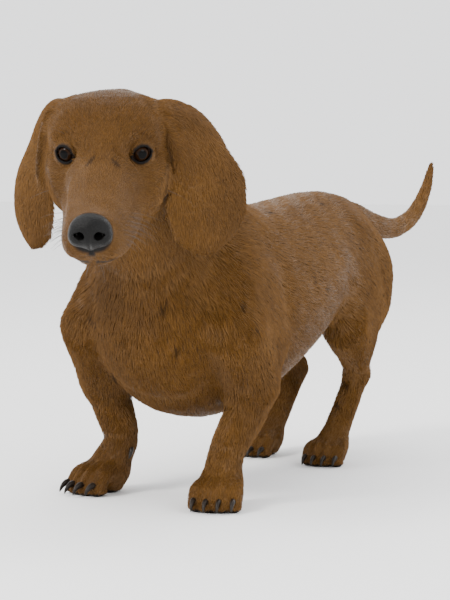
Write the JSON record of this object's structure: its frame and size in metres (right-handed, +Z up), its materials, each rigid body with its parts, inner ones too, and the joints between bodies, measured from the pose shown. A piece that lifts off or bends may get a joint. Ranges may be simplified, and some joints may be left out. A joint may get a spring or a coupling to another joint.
{
  "type": "smooth-coated dachshund, still model",
  "caption": "Life-size still model of a smooth brown dachshund in mid-stride, head turned to its left and tail raised.",
  "frame": {"origin": "on the floor, under the middle of the dog's bounding box", "axes": "+Z up; the dog's body faces -Y, its tail points to +Y and its left side is +X; the head is turned 25 degrees to its left"},
  "size_m": [0.1832, 0.7514, 0.3176],
  "materials": {
    "coat": "short smooth brown coat",
    "nose": "moist pebbled black leather",
    "eye": "wet and glossy, very dark brown",
    "claw": "dark horn"
  },
  "bodies": {
    "root": {"head": "coat", "neck": "coat", "chest": "coat", "belly": "coat", "rump": "coat", "tail_base": "coat", "tail_middle": "coat", "tail_tip": "coat", "ear_left": "coat", "ear_right": "coat", "upper_arm_left": "coat", "upper_arm_right": "coat", "forearm_left": "coat", "forearm_right": "coat", "front_paw_left": "coat", "front_paw_right": "coat", "thigh_left": "coat", "thigh_right": "coat", "lower_leg_left": "coat", "lower_leg_right": "coat", "hind_pastern_left": "coat", "hind_pastern_right": "coat", "hind_paw_left": "coat", "hind_paw_right": "coat", "nose": "nose", "eye_left": "eye", "eye_right": "eye", "front_claw_left_1": "claw", "front_claw_left_2": "claw", "front_claw_left_3": "claw", "front_claw_left_4": "claw", "front_claw_right_1": "claw", "front_claw_right_2": "claw", "front_claw_right_3": "claw", "front_claw_right_4": "claw", "hind_claw_left_1": "claw", "hind_claw_left_2": "claw", "hind_claw_left_3": "claw", "hind_claw_left_4": "claw", "hind_claw_right_1": "claw", "hind_claw_right_2": "claw", "hind_claw_right_3": "claw", "hind_claw_right_4": "claw", "dewclaw_left": "claw", "dewclaw_right": "claw"}
  },
  "joints": []
}
